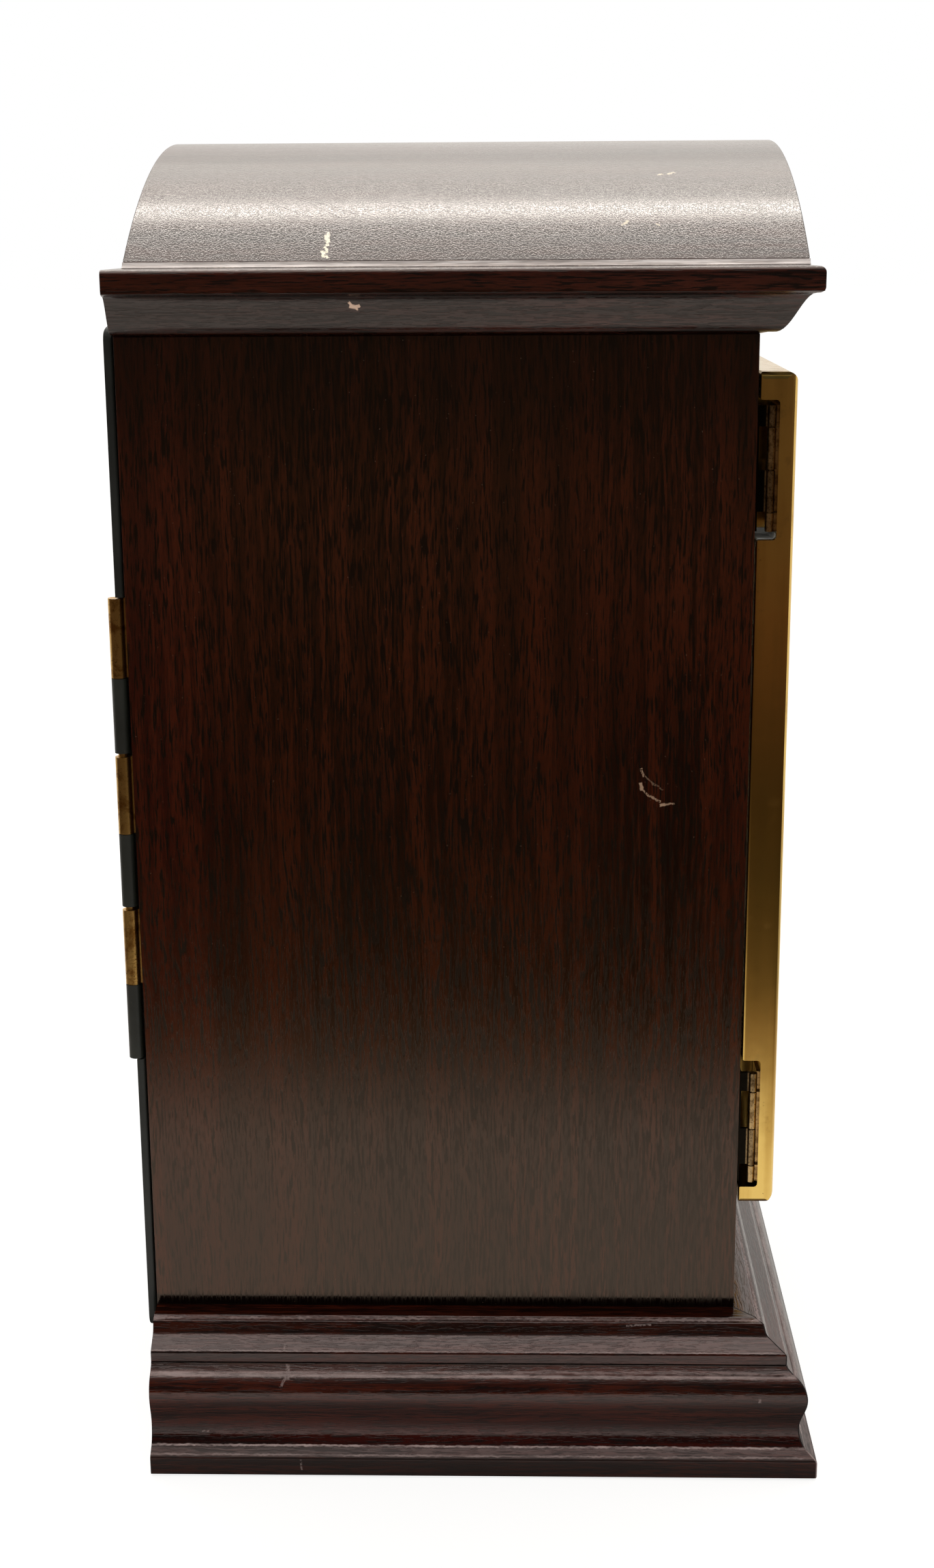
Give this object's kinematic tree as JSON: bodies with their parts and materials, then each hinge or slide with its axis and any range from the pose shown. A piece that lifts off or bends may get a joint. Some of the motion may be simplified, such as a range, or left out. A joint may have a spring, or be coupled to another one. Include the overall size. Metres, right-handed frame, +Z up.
{
  "type": "striking clock",
  "caption": "Barrel-topped wooden bracket clock with a hinged brass front door, painted back door, geared going and striking movement, pendulum, hammer and gong rods.",
  "frame": {"origin": "under the middle of the base, on the surface that the clock stands on", "axes": "+Z up; -Y is the front with the dial and the brass door, +Y the back; +X is right seen from the front"},
  "size_m": [0.2536, 0.1828, 0.332],
  "materials": {
    "mahogany": "glossy dark red-brown lacquer",
    "inner_wood": "plain inner wood, matt",
    "brass": "polished, lacquered",
    "aged_brass": "dull, darkened with age",
    "steel": "fine turned and polished",
    "blued_steel": "dark blued, satin",
    "silvered": "silvered, satin",
    "black_paint": "dark green-black paint, satin",
    "glass": "clear, polished",
    "iron": "dull casting"
  },
  "bodies": {
    "case": {"base_plinth": "mahogany", "base_upper_moulding": "mahogany", "base_panel": "inner_wood", "bottom_board": "inner_wood", "left_side_panel": "mahogany", "right_side_panel": "mahogany", "front_frame": "mahogany", "top_board": "inner_wood", "cornice_moulding": "mahogany", "roof_base_board": "mahogany", "roof_shell": "mahogany", "roof_end_panels": "mahogany", "seat_board": "inner_wood", "front_hinge_case_leaves": "aged_brass", "front_hinge_pins": "steel", "dial_plate": "brass", "chapter_ring": "silvered", "corner_spandrels": "brass", "back_hinge_case_leaf": "aged_brass", "back_hinge_pin": "steel", "front_plate": "brass", "back_plate": "brass", "plate_pillars": "brass", "back_cock": "brass", "gong_block": "iron", "gong_rods": "aged_brass"},
    "front_door": {"front_door_frame": "brass", "front_door_glass": "glass", "glass_retainer": "brass", "front_hinge_door_leaves": "brass", "front_door_knob": "brass"},
    "back_door": {"back_door_panel": "black_paint", "back_hinge_door_leaf": "black_paint", "back_door_knob": "brass"},
    "centre": {"centre_wheel": "brass", "cannon_pinion": "steel", "minute_hand": "blued_steel", "hand_nut": "brass"},
    "hour": {"hour_wheel": "brass", "hour_hand": "blued_steel"},
    "minute_wheel": {"minute_wheel": "brass"},
    "going_second": {"going_second_wheel": "brass"},
    "going_barrel": {"going_barrel": "brass", "going_mainspring": "steel"},
    "third": {"third_wheel": "brass"},
    "escape": {"escape_wheel": "brass"},
    "swing": {"anchor": "steel", "pendulum": "brass"},
    "going_winding": {"going_winding_arbor": "steel"},
    "going_click": {"going_click": "steel"},
    "pin_wheel": {"pin_wheel": "brass"},
    "strike_second": {"strike_second_wheel": "brass"},
    "strike_barrel": {"strike_barrel": "brass", "strike_mainspring": "steel"},
    "locking": {"locking_wheel": "brass"},
    "warning": {"warning_wheel": "brass"},
    "fly": {"fly": "brass"},
    "strike_winding": {"strike_winding_arbor": "steel"},
    "strike_click": {"strike_click": "steel"},
    "hammer": {"hammer": "steel"}
  },
  "joints": [
    {"name": "front_door_hinge", "type": "hinge", "parent": "case", "child": "front_door", "pos_m": [-0.1049, -0.0785, 0.1717], "axis": [0, 0, -1], "range_deg": [0, 105]},
    {"name": "back_door_hinge", "type": "hinge", "parent": "case", "child": "back_door", "pos_m": [-0.1046, 0.0776, 0.16], "axis": [0, 0, 1], "range_deg": [0, 105]},
    {"name": "minute_hand_spin", "type": "hinge", "parent": "case", "child": "centre", "pos_m": [0, -0.06, 0.1717], "axis": [0, 1, 0], "continuous": true},
    {"name": "hour_hand_spin", "type": "hinge", "parent": "case", "child": "hour", "pos_m": [0, -0.062, 0.1717], "axis": [0, 1, 0], "continuous": true},
    {"name": "minute_wheel_spin", "type": "hinge", "parent": "case", "child": "minute_wheel", "pos_m": [-0.00313, -0.057, 0.15397], "axis": [0, 1, 0], "continuous": true},
    {"name": "going_second_spin", "type": "hinge", "parent": "case", "child": "going_second", "pos_m": [0.02442, -0.03, 0.17368], "axis": [0, 1, 0], "continuous": true},
    {"name": "going_barrel_spin", "type": "hinge", "parent": "case", "child": "going_barrel", "pos_m": [0.036, -0.03, 0.1377], "axis": [0, 1, 0], "continuous": true},
    {"name": "third_spin", "type": "hinge", "parent": "case", "child": "third", "pos_m": [0.008, -0.03, 0.19369], "axis": [0, 1, 0], "continuous": true},
    {"name": "escape_spin", "type": "hinge", "parent": "case", "child": "escape", "pos_m": [0, -0.03, 0.2118], "axis": [0, 1, 0], "continuous": true},
    {"name": "pendulum_swing", "type": "hinge", "parent": "case", "child": "swing", "pos_m": [0, 0, 0.2318], "axis": [0, 1, 0], "range_deg": [-2.5, 2.5]},
    {"name": "going_winding_spin", "type": "hinge", "parent": "case", "child": "going_winding", "pos_m": [0.036, -0.056, 0.1377], "axis": [0, 1, 0], "continuous": true},
    {"name": "going_click_swing", "type": "hinge", "parent": "case", "child": "going_click", "pos_m": [0.0475, -0.056, 0.11778], "axis": [0, 1, 0], "range_deg": [0, 8]},
    {"name": "pin_wheel_spin", "type": "hinge", "parent": "case", "child": "pin_wheel", "pos_m": [-0.03812, -0.03, 0.19526], "axis": [0, 1, 0], "continuous": true},
    {"name": "strike_second_spin", "type": "hinge", "parent": "case", "child": "strike_second", "pos_m": [-0.04578, -0.03, 0.17421], "axis": [0, 1, 0], "continuous": true},
    {"name": "strike_barrel_spin", "type": "hinge", "parent": "case", "child": "strike_barrel", "pos_m": [-0.036, -0.03, 0.1377], "axis": [0, 1, 0], "continuous": true},
    {"name": "locking_spin", "type": "hinge", "parent": "case", "child": "locking", "pos_m": [-0.02867, -0.03, 0.21163], "axis": [0, 1, 0], "continuous": true},
    {"name": "warning_spin", "type": "hinge", "parent": "case", "child": "warning", "pos_m": [-0.03135, -0.03, 0.22679], "axis": [0, 1, 0], "continuous": true},
    {"name": "fly_spin", "type": "hinge", "parent": "case", "child": "fly", "pos_m": [-0.04196, -0.03, 0.23292], "axis": [0, 1, 0], "continuous": true},
    {"name": "strike_winding_spin", "type": "hinge", "parent": "case", "child": "strike_winding", "pos_m": [-0.036, -0.056, 0.1377], "axis": [0, 1, 0], "continuous": true},
    {"name": "strike_click_swing", "type": "hinge", "parent": "case", "child": "strike_click", "pos_m": [-0.0475, -0.056, 0.11778], "axis": [0, -1, 0], "range_deg": [0, 8]},
    {"name": "hammer_swing", "type": "hinge", "parent": "case", "child": "hammer", "pos_m": [-0.06312, 0, 0.20426], "axis": [0, 1, 0], "range_deg": [0, 9]}
  ],
  "couplings": [
    {"joint": "hour_hand_spin", "follows": "minute_hand_spin", "ratio": 0.083333},
    {"joint": "minute_wheel_spin", "follows": "minute_hand_spin", "ratio": -0.33333},
    {"joint": "going_second_spin", "follows": "minute_hand_spin", "ratio": -0.16667},
    {"joint": "going_barrel_spin", "follows": "minute_hand_spin", "ratio": 0.027778},
    {"joint": "third_spin", "follows": "minute_hand_spin", "ratio": -12},
    {"joint": "escape_spin", "follows": "minute_hand_spin", "ratio": 132},
    {"joint": "strike_second_spin", "follows": "pin_wheel_spin", "ratio": -0.14286},
    {"joint": "strike_barrel_spin", "follows": "pin_wheel_spin", "ratio": 0.02381},
    {"joint": "locking_spin", "follows": "pin_wheel_spin", "ratio": -8},
    {"joint": "warning_spin", "follows": "pin_wheel_spin", "ratio": 56},
    {"joint": "fly_spin", "follows": "pin_wheel_spin", "ratio": -336}
  ]
}
